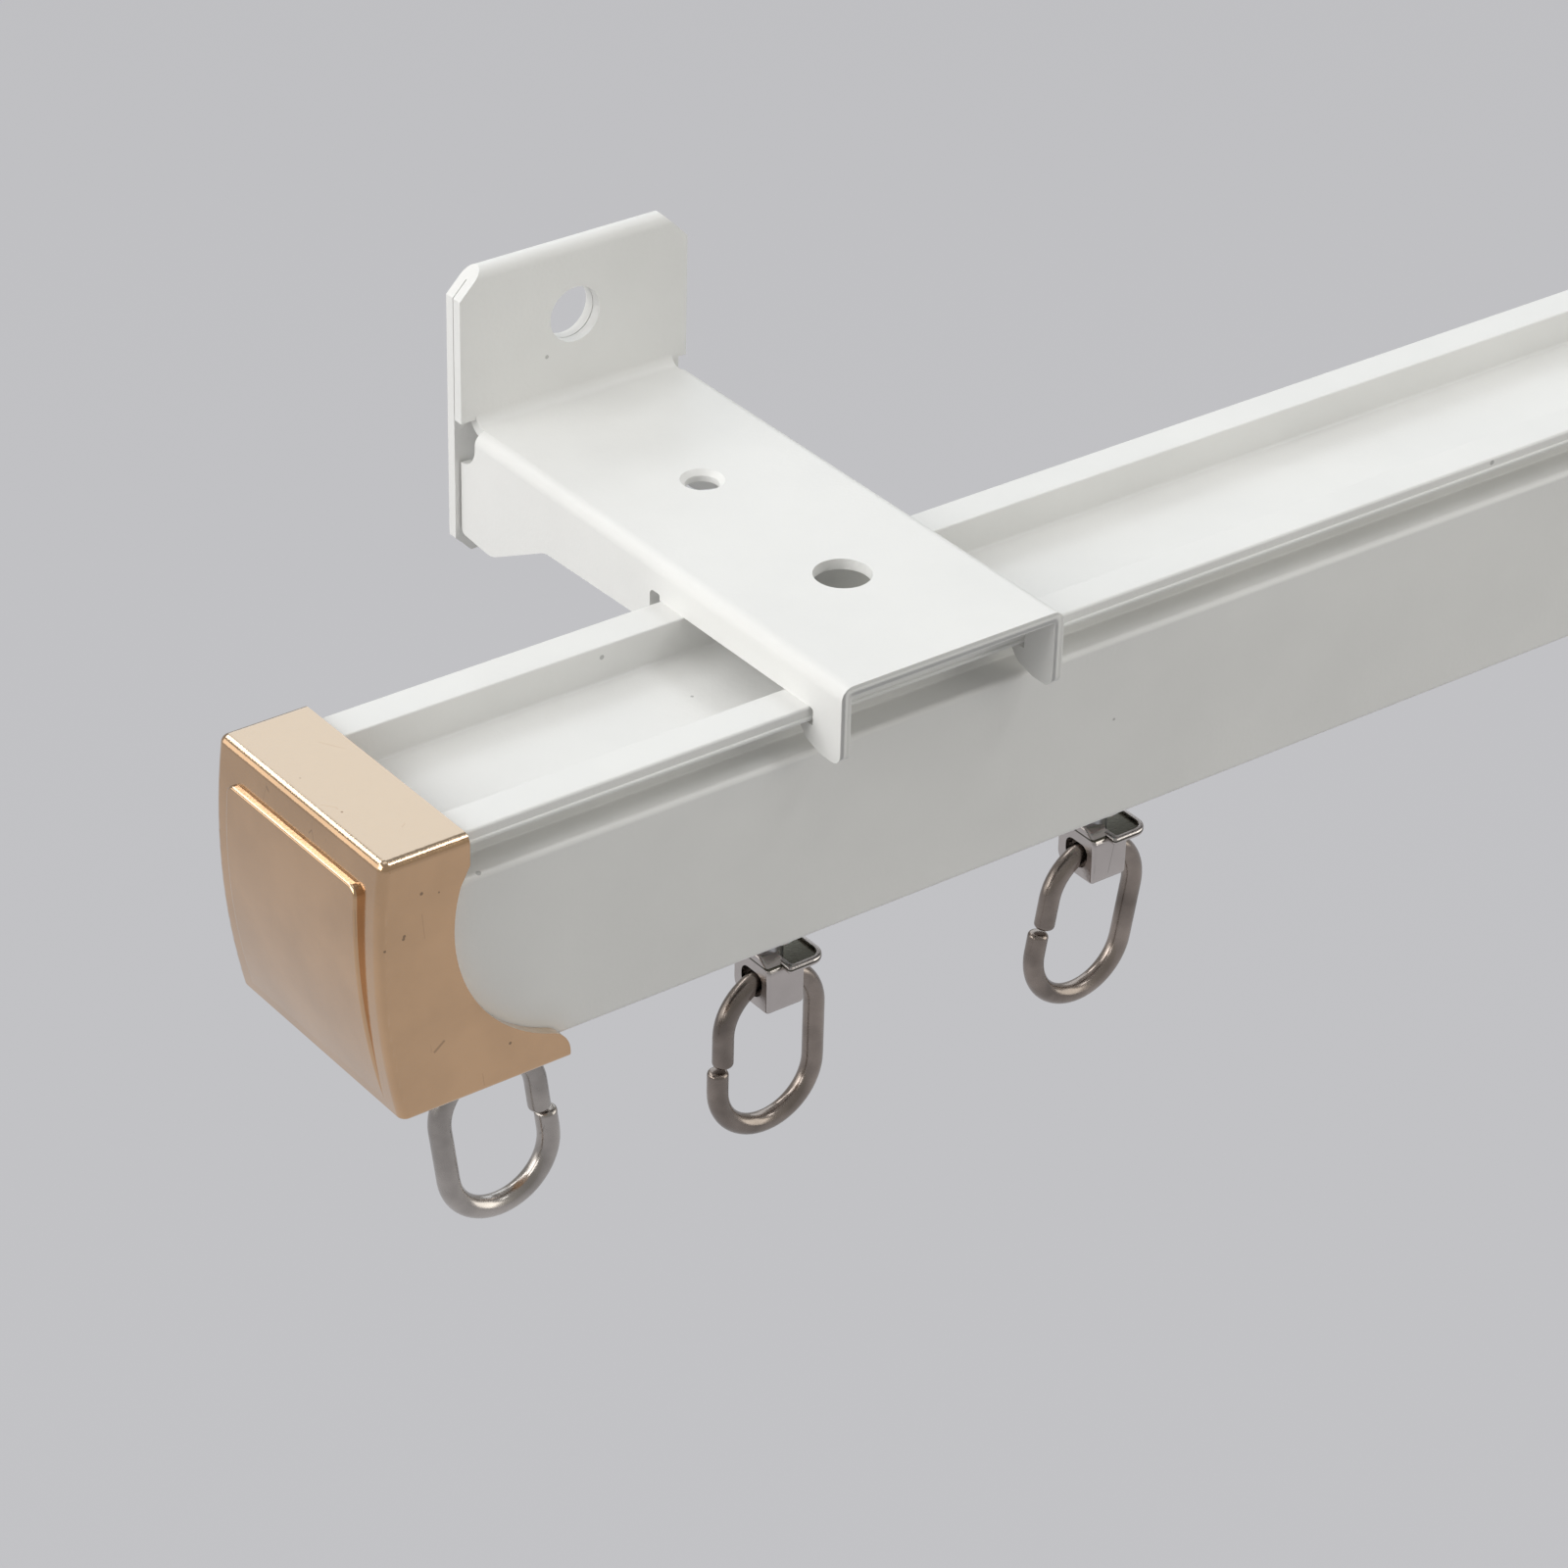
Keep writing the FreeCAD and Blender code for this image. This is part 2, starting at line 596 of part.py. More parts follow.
def make_carriage(name, x):
    """The moulded carriage: a block in the slot, hubs for the wheels and a neck below."""
    body = add_body(name, x=x)
    half = size.carriage_length / 2
    top = CARRIAGE_FOOT + size.carriage_height + 2 * size.carriage_foot
    block = rounded([(-half, top, 2.0), (half, top, 2.0), (half, CARRIAGE_FOOT, 0.8),
                     (-half, CARRIAGE_FOOT, 0.8)])
    pad(body, add_sketch(body, "XZ_Plane", block), "Sizes.carriage_width")
    hub = [Part.Circle(point(0, AXLE_LEVEL), FreeCAD.Vector(0, 0, 1), size.hub_radius)]
    pad(body, add_sketch(body, "XZ_Plane", hub), f"{2 * (WHEEL_INNER - size.wheel_gap)}")
    neck = rounded([(0, CARRIAGE_FOOT + 1, 0), (size.neck_radius + 0.3, CARRIAGE_FOOT + 1, 0),
                    (size.neck_radius + 0.3, CARRIAGE_FOOT - 0.6, 0),
                    (size.neck_radius, CARRIAGE_FOOT - 1.6, 0),
                    (size.neck_radius, NECK_FOOT, 0.4), (0, NECK_FOOT, 0)])
    revolve(body, add_sketch(body, "XZ_Plane", neck))
    bore = size.pin_radius + size.pin_fit
    seat = size.pin_head_radius + size.pin_fit
    shaft = [Part.Circle(point(0, 0), FreeCAD.Vector(0, 0, 1), bore)]
    pocket(body, add_sketch(body, "XY_Plane", shaft, NECK_FOOT - 1), f"{HEAD_SEAT - NECK_FOOT + 2}",
           backwards=True)
    head = [Part.Circle(point(0, 0), FreeCAD.Vector(0, 0, 1), seat)]
    pocket(body, add_sketch(body, "XY_Plane", head, HEAD_SEAT), f"{top - HEAD_SEAT + 1}",
           backwards=True)
    axle = [Part.Circle(point(0, AXLE_LEVEL), FreeCAD.Vector(0, 0, 1), size.axle_radius)]
    pocket(body, add_sketch(body, "XZ_Plane", axle))


def make_wheel(name, x, turn):
    """A nylon wheel with a recessed outer face, running on the axle."""
    body = add_body(name, x=x, z=AXLE_HEIGHT,
                    rotation=FreeCAD.Rotation(FreeCAD.Vector(0, 0, 1), turn))
    inner = WHEEL_INNER
    outer = inner + size.wheel_width
    bore = size.axle_radius + size.axle_fit
    rim = size.wheel_radius
    profile = rounded([
        (inner, bore, 0), (inner, rim, 0.5), (outer, rim, 0.5), (outer, rim - 1.0, 0),
        (outer - 1.0, rim - 1.4, 0), (outer - 1.0, bore + 1.2, 0), (outer, bore + 0.9, 0),
        (outer, bore, 0),
    ])
    revolve(body, add_sketch(body, "YZ_Plane", profile), "H_Axis")


def make_axle(name, x):
    """The steel axle with a head past each wheel."""
    body = add_body(name, x=x, z=AXLE_HEIGHT)
    neck = WHEEL_INNER + size.wheel_width + size.wheel_gap
    end = neck + size.axle_head_width
    profile = rounded(mirrored([(neck, size.axle_radius, 0), (neck, size.axle_head_radius, 0),
                                (end, size.axle_head_radius, 0.3), (end, 0, 0)]))
    revolve(body, add_sketch(body, "YZ_Plane", profile), "H_Axis")


def make_pin(name, x):
    """The headed pin that the hanger turns on."""
    body = add_body(name, x=x)
    top = HEAD_SEAT + 0.05 + size.pin_head_height
    profile = rounded([
        (0, top, 0), (size.pin_head_radius, top, 0.3), (size.pin_head_radius, HEAD_SEAT + 0.05, 0),
        (size.pin_radius, HEAD_SEAT + 0.05, 0), (size.pin_radius, WINDOW_ROOF, 0), (0, WINDOW_ROOF, 0),
    ])
    revolve(body, add_sketch(body, "XZ_Plane", profile))


def make_hanger(name, x):
    """The plated hanger: a stirrup for the ring, a shoulder on its left and a dished flange."""
    body = add_body(name, x=x)
    side = size.hanger_width / 2
    front = -(WINDOW + size.hanger_front_leg)
    rear = WINDOW + size.hanger_rear_leg
    foot = PIVOT - WINDOW - size.hanger_foot
    crest = FLANGE_TOP + size.hanger_shoulder
    stirrup = rounded([
        (0.4 * front, crest, 0.7), (front, FLANGE_TOP - 0.45, 0.8), (front, foot, 0.5),
        (rear, foot, 1.6), (rear, FLANGE_TOP - 0.45, 1.2), (0.4 * rear, crest, 0.7),
    ])
    block = pad(body, add_sketch(body, "YZ_Plane", stirrup), "Sizes.hanger_width")

    def on_side(edge):
        return edge.BoundBox.XLength < 0.01 and abs(abs(edge.BoundBox.Center.x) - side) < 0.01

    soften(body, block, "hanger_edge_round", on_side)

    # The shoulder stands on the left; right of the middle the top lies under the flange
    step = rounded([
        (0, FLANGE_FOOT + 0.2, 0.3), (0, crest + 1, 0),
        (2 * side, crest + 1, 0), (2 * side, FLANGE_FOOT + 0.2, 0),
    ])
    pocket(body, add_sketch(body, "XZ_Plane", step))
    reach = size.flange_reach
    edge_y = size.flange_width / 2
    plate = rounded([
        (-0.4, -edge_y, 0.3), (reach, -edge_y, size.flange_corner),
        (reach, edge_y, size.flange_corner), (-0.4, edge_y, 0.3),
    ])
    flange = pad(body, add_sketch(body, "XY_Plane", plate, FLANGE_FOOT), "Sizes.flange_thickness",
                 symmetric=False)

    def on_rim(edge):
        box = edge.BoundBox
        level = min(abs(box.ZMax - FLANGE_TOP), abs(box.ZMax - FLANGE_FOOT)) < 0.01
        outer = max(abs(box.YMax), abs(box.YMin)) > edge_y - 0.01 or box.XMax > reach - 0.01
        return box.ZLength < 0.01 and level and outer

    soften(body, flange, "flange_edge_round", on_rim)
    inset = edge_y - size.dish_rim
    dish = rounded([
        (0.15, -inset, 0.3), (reach - size.dish_rim, -inset, size.flange_corner - size.dish_rim),
        (reach - size.dish_rim, inset, size.flange_corner - size.dish_rim), (0.15, inset, 0.3),
    ])
    pocket(body, add_sketch(body, "XY_Plane", dish, FLANGE_TOP), "Sizes.dish_depth")
    corner = 0.6 * WINDOW
    window = rounded([
        (-WINDOW, WINDOW_ROOF, corner), (WINDOW, WINDOW_ROOF, corner),
        (WINDOW, PIVOT - WINDOW, 0.9 * WINDOW), (-WINDOW, PIVOT - WINDOW, 0.9 * WINDOW),
    ])
    pocket(body, add_sketch(body, "YZ_Plane", window))
    shank = [Part.Circle(point(0, 0), FreeCAD.Vector(0, 0, 1), size.pin_radius)]
    pocket(body, add_sketch(body, "XY_Plane", shank, WINDOW_ROOF - 0.01), f"{crest - WINDOW_ROOF + 1}",
           backwards=True)


def main():
    """Build every piece, check it and write its STEP file."""
    half = "Sizes.track_length / 2"
    make_rail()
    make_end_cap("end_cap_left", f"-{half}", 0.0)
    make_end_cap("end_cap_right", half, 180.0)
    make_bracket("bracket_left", f"-{half} + Sizes.bracket_inset")
    make_bracket("bracket_right", f"{half} - Sizes.bracket_inset")
    lug_level = f"{TO_CAP_TOP} + {LUG_PIVOT}"
    bend = "(Sizes.end_ring_width - Sizes.end_ring_wire) / 2"
    angle = "(Sizes.end_ring_lean * 1 deg)"
    make_ring("end_ring_left", f"-{half} + Sizes.lug_inset - {bend} * sin{angle}",
              f"{lug_level} - {bend} * (1 - cos{angle})", size.end_ring_wire,
              size.end_ring_width, turn=180.0, lean=size.end_ring_lean)
    make_ring("end_ring_right", f"{half} - Sizes.lug_inset", lug_level, size.end_ring_wire,
              size.end_ring_width)
    gliders = (
        (f"-{half} + Sizes.outer_glider_inset", 0),
        (f"-{half} + Sizes.inner_glider_inset", 1),
        (f"{half} - Sizes.inner_glider_inset", 0),
        (f"{half} - Sizes.outer_glider_inset", 0),
    )
    for number, (x, lean_sign) in enumerate(gliders, start=1):
        make_glider(number, x, lean_sign)
    doc.recompute()

    for thing in doc.Objects:
        if "Invalid" in thing.State or "Error" in thing.State:
            raise RuntimeError(f"{thing.Label} did not build: {thing.State}")
    bodies = [thing for thing in doc.Objects if thing.TypeId == "PartDesign::Body"]
    for body in bodies:
        shape = body.Shape
        if shape.isNull() or not shape.isValid() or len(shape.Solids) != 1:
            raise RuntimeError(f"{body.Label} is not one sound solid")
    os.makedirs("parts", exist_ok=True)
    for body in bodies:
        body.Shape.exportStep(f"parts/{body.Label}.step")
        print(body.Label, round(body.Shape.Volume, 2))


main()
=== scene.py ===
"""The looks of a wall-mounted curtain track: white rail, folded brackets, plated caps, rings."""
import logging
import math
from dataclasses import dataclass, replace
from enum import Enum

import bmesh
import bpy
from mathutils import Matrix, Vector


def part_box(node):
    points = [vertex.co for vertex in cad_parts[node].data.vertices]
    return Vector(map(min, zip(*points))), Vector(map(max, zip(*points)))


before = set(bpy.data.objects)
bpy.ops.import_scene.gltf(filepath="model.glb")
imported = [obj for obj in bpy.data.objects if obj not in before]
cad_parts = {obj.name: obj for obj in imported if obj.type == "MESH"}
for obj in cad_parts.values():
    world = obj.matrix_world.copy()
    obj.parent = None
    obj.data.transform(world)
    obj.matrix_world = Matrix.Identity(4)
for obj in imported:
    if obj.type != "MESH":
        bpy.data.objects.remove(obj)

log = logging.getLogger("curtain_track")

MM = 0.001

# Where the brackets' arms lie in the frame, for the shading of their cut front edges
BRACKET_X = 96.95 * MM
ARM_HALF_WIDTH = 11.43 * MM
ARM_TOP_Z = -7.78 * MM
ARM_FRONT_Y = -55.9 * MM
SHEET = 1.0 * MM

GLIDERS = 4

# The part of a noise's range that finishes use, since it seldom leaves the middle
NOISE_LOW, NOISE_HIGH = 0.3, 0.7
BLEND_START, BLEND_END = 0.35, 0.65

Colour = tuple[float, float, float]


class Side(Enum):
    """The two ends of the track."""

    LEFT = "left"
    RIGHT = "right"


def linear(red: int, green: int, blue: int) -> Colour:
    """Turns a display colour into the linear values that shaders use.

    Args:
        red: Red from 0 to 255.
        green: Green from 0 to 255.
        blue: Blue from 0 to 255.

    Returns:
        The linear colour.
    """
    def channel(value: int) -> float:
        """Makes one channel linear.

        Args:
            value: The channel, from 0 to 255.

        Returns:
            The linear value, from 0 to 1.
        """
        share = value / 255
        return share / 12.92 if share <= 0.04045 else ((share + 0.055) / 1.055) ** 2.4

    return channel(red), channel(green), channel(blue)


def shaded(colour: Colour, share: float) -> Colour:
    """Makes a colour darker or lighter.

    Args:
        colour: The colour.
        share: What each channel is multiplied by.

    Returns:
        The new colour, with no channel over 1.
    """
    return tuple(min(1.0, share * channel) for channel in colour)


class Effect:
    """A shader node group that several finishes share, built once."""

    def __init__(self, name: str, inputs: dict[str, float], outputs: list[str]) -> None:
        """Makes an empty group.

        Args:
            name: The group's name.
            inputs: Float inputs and their defaults. A Vector input is always there.
            outputs: The names of its float outputs.
        """
        self.tree = bpy.data.node_groups.new(name, "ShaderNodeTree")
        interface = self.tree.interface
        interface.new_socket("Vector", in_out="INPUT", socket_type="NodeSocketVector")
        for label, default in inputs.items():
            socket = interface.new_socket(label, in_out="INPUT", socket_type="NodeSocketFloat")
            socket.default_value = default
        for label in outputs:
            interface.new_socket(label, in_out="OUTPUT", socket_type="NodeSocketFloat")
        self.start = self.tree.nodes.new("NodeGroupInput")
        self.end = self.tree.nodes.new("NodeGroupOutput")

    def node(self, kind: str, **settings: object) -> bpy.types.Node:
        """Adds a node.

        Args:
            kind: The node's type name.
            **settings: Properties to set on it.

        Returns:
            The new node.
        """
        made = self.tree.nodes.new(kind)
        for key, value in settings.items():
            setattr(made, key, value)
        return made

    def link(self, source: bpy.types.NodeSocket, target: bpy.types.NodeSocket) -> None:
        """Joins two sockets.

        Args:
            source: The output that gives the value.
            target: The input that takes it.
        """
        self.tree.links.new(source, target)

    def maths(self, operation: str, *values: object) -> bpy.types.NodeSocket:
        """Adds a Math node fed by sockets or plain numbers.

        Args:
            operation: The Math node's operation.
            *values: One to three sockets or numbers.

        Returns:
            Its output socket.
        """
        made = self.node("ShaderNodeMath", operation=operation)
        for index, value in enumerate(values):
            if isinstance(value, bpy.types.NodeSocket):
                self.link(value, made.inputs[index])
            else:
                made.inputs[index].default_value = value
        return made.outputs[0]


def mottle_effect() -> Effect:
    """Slow blotches with finer noise in them, centred on 0.5, for colour and roughness.

    Returns:
        The effect.
    """
    effect = Effect("mottle", {"Scale": 200.0, "Detail": 4.0}, ["Value", "Height"])
    noise = effect.node("ShaderNodeTexNoise")
    effect.link(effect.start.outputs["Vector"], noise.inputs["Vector"])
    effect.link(effect.start.outputs["Scale"], noise.inputs["Scale"])
    effect.link(effect.start.outputs["Detail"], noise.inputs["Detail"])
    effect.link(noise.outputs["Fac"], effect.end.inputs["Value"])
    fine = effect.node("ShaderNodeTexNoise")
    fine.inputs["Detail"].default_value = 2.0
    effect.link(effect.start.outputs["Vector"], fine.inputs["Vector"])
    effect.link(effect.maths("MULTIPLY", effect.start.outputs["Scale"], 7.0), fine.inputs["Scale"])
    effect.link(fine.outputs["Fac"], effect.end.inputs["Height"])
    return effect


def drawn_lines_effect() -> Effect:
    """Fine lines drawn along X, as an extrusion leaves them.

    Returns:
        The effect.
    """
    effect = Effect("drawn_lines", {"Scale": 900.0, "Stretch": 0.02}, ["Value"])
    stretch = effect.node("ShaderNodeCombineXYZ")
    effect.link(effect.start.outputs["Stretch"], stretch.inputs["X"])
    stretch.inputs["Y"].default_value = 1.0
    stretch.inputs["Z"].default_value = 1.0
    scaled = effect.node("ShaderNodeVectorMath", operation="MULTIPLY")
    effect.link(effect.start.outputs["Vector"], scaled.inputs[0])
    effect.link(stretch.outputs[0], scaled.inputs[1])
    noise = effect.node("ShaderNodeTexNoise")
    noise.inputs["Detail"].default_value = 3.0
    effect.link(scaled.outputs[0], noise.inputs["Vector"])
    effect.link(effect.start.outputs["Scale"], noise.inputs["Scale"])
    effect.link(noise.outputs["Fac"], effect.end.inputs["Value"])
    return effect


def specks_effect() -> Effect:
    """A few round specks: dust under paint or pits in plating.

    Returns:
        The effect.
    """
    effect = Effect("specks", {"Scale": 250.0, "Size": 0.08, "Share": 0.1}, ["Mask"])
    cells = effect.node("ShaderNodeTexVoronoi")
    effect.link(effect.start.outputs["Vector"], cells.inputs["Vector"])
    effect.link(effect.start.outputs["Scale"], cells.inputs["Scale"])
    near = effect.maths("LESS_THAN", cells.outputs["Distance"], effect.start.outputs["Size"])
    split = effect.node("ShaderNodeSeparateColor")
    effect.link(cells.outputs["Color"], split.inputs[0])
    chosen = effect.maths("LESS_THAN", split.outputs[0], effect.start.outputs["Share"])
    effect.link(effect.maths("MULTIPLY", near, chosen), effect.end.inputs["Mask"])
    return effect


def scratches_effect() -> Effect:
    """Sparse hairline scratches that run mostly one way, as handling leaves them.

    Returns:
        The effect.
    """
    effect = Effect("scratches", {"Scale": 260.0, "Width": 0.004, "Share": 0.2}, ["Mask"])
    # Turned off the axes, so that no scratch runs along an edge, and drawn out one way
    turned = effect.node("ShaderNodeMapping")
    turned.inputs["Rotation"].default_value = (0.5, 0.35, 0.6)
    turned.inputs["Scale"].default_value = (1.0, 1.0, 0.16)
    effect.link(effect.start.outputs["Vector"], turned.inputs["Vector"])
    cells = effect.node("ShaderNodeTexVoronoi", feature="DISTANCE_TO_EDGE")
    effect.link(turned.outputs[0], cells.inputs["Vector"])
    effect.link(effect.start.outputs["Scale"], cells.inputs["Scale"])
    line = effect.maths("LESS_THAN", cells.outputs["Distance"], effect.start.outputs["Width"])
    patches = effect.node("ShaderNodeTexNoise")
    effect.link(effect.start.outputs["Vector"], patches.inputs["Vector"])
    effect.link(effect.start.outputs["Scale"], patches.inputs["Scale"])
    # A noise seldom passes 0.72, so nothing is scratched at a share of 0
    half_share = effect.maths("MULTIPLY", effect.start.outputs["Share"], 0.5)
    limit = effect.maths("SUBTRACT", 0.72, half_share)
    chosen = effect.maths("GREATER_THAN", patches.outputs["Fac"], limit)
    effect.link(effect.maths("MULTIPLY", line, chosen), effect.end.inputs["Mask"])
    return effect


def painted_top_light_effect() -> Effect:
    """Where a face looks up: a mask for painted light, a colour that stands in for light on top
    faces.

    Returns:
        The effect.
    """
    effect = Effect("painted_top_light", {"Start": 0.6, "End": 0.95}, ["Mask"])
    surface = effect.node("ShaderNodeNewGeometry")
    split = effect.node("ShaderNodeSeparateXYZ")
    effect.link(surface.outputs["True Normal"], split.inputs[0])
    ramp = effect.node("ShaderNodeMapRange", interpolation_type="SMOOTHSTEP")
    effect.link(split.outputs["Z"], ramp.inputs["Value"])
    effect.link(effect.start.outputs["Start"], ramp.inputs["From Min"])
    effect.link(effect.start.outputs["End"], ramp.inputs["From Max"])
    effect.link(ramp.outputs["Result"], effect.end.inputs["Mask"])
    return effect


def level_band_effect() -> Effect:
    """A thin level band of the piece, picked by height, such as the floor of a dish.

    Returns:
        The effect.
    """
    effect = Effect("level_band", {"Level": 0.0, "Spread": 0.00008}, ["Mask"])
    split = effect.node("ShaderNodeSeparateXYZ")
    effect.link(effect.start.outputs["Vector"], split.inputs[0])
    above = effect.maths("SUBTRACT", split.outputs["Z"], effect.start.outputs["Level"])
    away = effect.maths("ABSOLUTE", above)
    inside = effect.maths("LESS_THAN", away, effect.start.outputs["Spread"])
    effect.link(inside, effect.end.inputs["Mask"])
    return effect


def sheet_edge_effect() -> Effect:
    """A height that falls away beside the cut front edge of a bracket's folded sheet.

    The height is 1 along the middle of the sheet and 0 at both of its faces, and it is there only
    on the arm's front face, so that a bump of it softens the edge as thick paint does.

    Returns:
        The effect.
    """
    effect = Effect("sheet_edge", {"Start": 0.1, "End": 1.0}, ["Height"])

    # How far a point lies off the middle of the sheet, round the arm's two bends
    place = effect.node("ShaderNodeSeparateXYZ")
    effect.link(effect.start.outputs["Vector"], place.inputs[0])
    across = effect.maths("SUBTRACT", effect.maths("ABSOLUTE", place.outputs["X"]), BRACKET_X)
    beside = effect.maths("SUBTRACT", effect.maths("ABSOLUTE", across), ARM_HALF_WIDTH - SHEET / 2)
    above = effect.maths("SUBTRACT", place.outputs["Z"], ARM_TOP_Z - SHEET / 2)
    off_middle = effect.maths("ABSOLUTE", effect.maths("SMOOTH_MAX", beside, above, 0.8 * MM))
    ramp = effect.node("ShaderNodeMapRange", interpolation_type="SMOOTHSTEP")
    effect.link(effect.maths("DIVIDE", off_middle, SHEET / 2), ramp.inputs["Value"])
    effect.link(effect.start.outputs["Start"], ramp.inputs["From Min"])
    effect.link(effect.start.outputs["End"], ramp.inputs["From Max"])
    crown = effect.maths("SUBTRACT", 1.0, ramp.outputs["Result"])

    # Only the cut face at the very front
    surface = effect.node("ShaderNodeNewGeometry")
    facing = effect.node("ShaderNodeSeparateXYZ")
    effect.link(surface.outputs["True Normal"], facing.inputs[0])
    looks_forward = effect.maths("LESS_THAN", facing.outputs["Y"], -0.9)
    at_front = effect.maths("LESS_THAN", place.outputs["Y"], ARM_FRONT_Y + SHEET / 2)
    there = effect.maths("MULTIPLY", looks_forward, at_front)
    effect.link(effect.maths("MULTIPLY", crown, there), effect.end.inputs["Height"])
    return effect


class Workshop:
    """The shared effects that the finishes draw on."""

    def __init__(self) -> None:
        """Builds the shared effects."""
        self.mottle = mottle_effect()
        self.drawn = drawn_lines_effect()
        self.specks = specks_effect()
        self.scratches = scratches_effect()
        # Picks faces that look up, for painted light
        self.painted_top_mask = painted_top_light_effect()
        self.band = level_band_effect()
        self.sheet_edge = sheet_edge_effect()


@dataclass
class Coat:
    """One material under construction: its tree, its shader and its surface coordinates."""

    name: str
    shop: Workshop

    def __post_init__(self) -> None:
        """Makes the material with a Principled shader and object coordinates."""
        self.material = bpy.data.materials.new(self.name)
        self.material.use_nodes = True
        self.tree = self.material.node_tree
        self.shader = self.tree.nodes["Principled BSDF"]
        self.place = self.tree.nodes.new("ShaderNodeTexCoord").outputs["Object"]

    def effect(self, which: Effect, **values: float) -> bpy.types.Node:
        """Places a shared effect with its own values.

        Args:
            which: The effect.
            **values: Inputs by name.

        Returns:
            The group node.
        """
        made = self.tree.nodes.new("ShaderNodeGroup")
        made.node_tree = which.tree
        self.tree.links.new(self.place, made.inputs["Vector"])
        for key, value in values.items():
            made.inputs[key].default_value = value
        return made

    def blend(self, factor: bpy.types.NodeSocket, low: Colour,
              high: Colour) -> bpy.types.NodeSocket:
        """A colour that runs from low to high over the middle of a noise's range.

        Args:
            factor: The noise.
            low: Colour where it is low.
            high: Colour where it is high.

        Returns:
            The colour socket.
        """
        ramp = self.tree.nodes.new("ShaderNodeValToRGB")
        start, end = ramp.color_ramp.elements
        start.position, start.color = BLEND_START, (*low, 1)
        end.position, end.color = BLEND_END, (*high, 1)
        self.tree.links.new(factor, ramp.inputs[0])
        return ramp.outputs[0]

    def over(self, base: bpy.types.NodeSocket, mask: bpy.types.NodeSocket,
             colour: Colour) -> bpy.types.NodeSocket:
        """Lays a plain colour over another where a mask is set.

        Args:
            base: The colour beneath.
            mask: Where the new one shows.
            colour: The new colour.

        Returns:
            The mixed colour socket.
        """
        mix = self.tree.nodes.new("ShaderNodeMix")
        mix.data_type = "RGBA"
        self.tree.links.new(mask, mix.inputs["Factor"])
        self.tree.links.new(base, mix.inputs[6])
        mix.inputs[7].default_value = (*colour, 1)
        return mix.outputs[2]

    def ranged(self, value: bpy.types.NodeSocket, low: float, high: float) -> bpy.types.NodeSocket:
        """Maps the usual range of a noise onto another.

        Args:
            value: The noise.
            low: Result where it is low.
            high: Result where it is high.

        Returns:
            The mapped socket.
        """
        made = self.tree.nodes.new("ShaderNodeMapRange")
        made.inputs["From Min"].default_value = NOISE_LOW
        made.inputs["From Max"].default_value = NOISE_HIGH
        made.inputs["To Min"].default_value = low
        made.inputs["To Max"].default_value = high
        self.tree.links.new(value, made.inputs["Value"])
        return made.outputs["Result"]

    def bump(self, height: bpy.types.NodeSocket, distance: float, strength: float) -> None:
        """Feeds a height into the shader's normal, over any bump that is there.

        Args:
            height: The height value.
            distance: How high a value of 1 stands, in metres.
            strength: Share of the effect.
        """
        made = self.tree.nodes.new("ShaderNodeBump")
        made.inputs["Distance"].default_value = distance
        made.inputs["Strength"].default_value = strength
        self.tree.links.new(height, made.inputs["Height"])
        normal = self.shader.inputs["Normal"]
        if normal.is_linked:
            self.tree.links.new(normal.links[0].from_socket, made.inputs["Normal"])
        self.tree.links.new(made.outputs["Normal"], normal)

    def set(self, **values: object) -> None:
        """Sets constants on the shader's own sockets.

        Args:
            **values: The constants, by socket name with underscores for spaces.
        """
        for key, value in values.items():
            self.shader.inputs[key.replace("_", " ")].default_value = value

    def join(self, source: bpy.types.NodeSocket, name: str) -> None:
        """Links a changing value to one of the shader's sockets.

        Args:
            source: The value.
            name: The socket's name.
        """
        self.tree.links.new(source, self.shader.inputs[name])


@dataclass(frozen=True)
class Paint:
    """Baked white paint on metal: faint orange peel, slow tone changes and a few specks.

    Peel, drawn lines and edge rounding are heights in millimetres.
    """

    name: str
    colour: Colour
    roughness: float = 0.38
    peel: float = 0.05
    drawn: float = 0.0
    speck_share: float = 0.02
    edge_round: float = 0.0

    def material(self, shop: Workshop) -> bpy.types.Material:
        """Builds the material.

        Args:
            shop: The shared effects.

        Returns:
            The material.
        """
        coat = Coat(self.name, shop)
        tone = coat.effect(shop.mottle, Scale=90.0, Detail=3.0)
        darker, lighter = shaded(self.colour, 0.975), shaded(self.colour, 1.012)
        colour = coat.blend(tone.outputs["Value"], darker, lighter)
        specks = coat.effect(shop.specks, Scale=420.0, Size=0.10, Share=self.speck_share)
        colour = coat.over(colour, specks.outputs["Mask"], shaded(self.colour, 0.62))
        coat.join(colour, "Base Color")
        smooth, rough = self.roughness - 0.05, self.roughness + 0.06
        coat.join(coat.ranged(tone.outputs["Value"], smooth, rough), "Roughness")
        peel = coat.effect(shop.mottle, Scale=330.0, Detail=2.0)
        coat.bump(peel.outputs["Height"], self.peel * MM, 0.25)
        if self.drawn:
            lines = coat.effect(shop.drawn, Scale=1500.0, Stretch=0.01)
            coat.bump(lines.outputs["Value"], self.drawn * MM, 0.35)
        if self.edge_round:
            edge = coat.effect(shop.sheet_edge)
            coat.bump(edge.outputs["Height"], self.edge_round * MM, 1.0)
        coat.set(IOR=1.5, Specular_IOR_Level=0.5)
        return coat.material


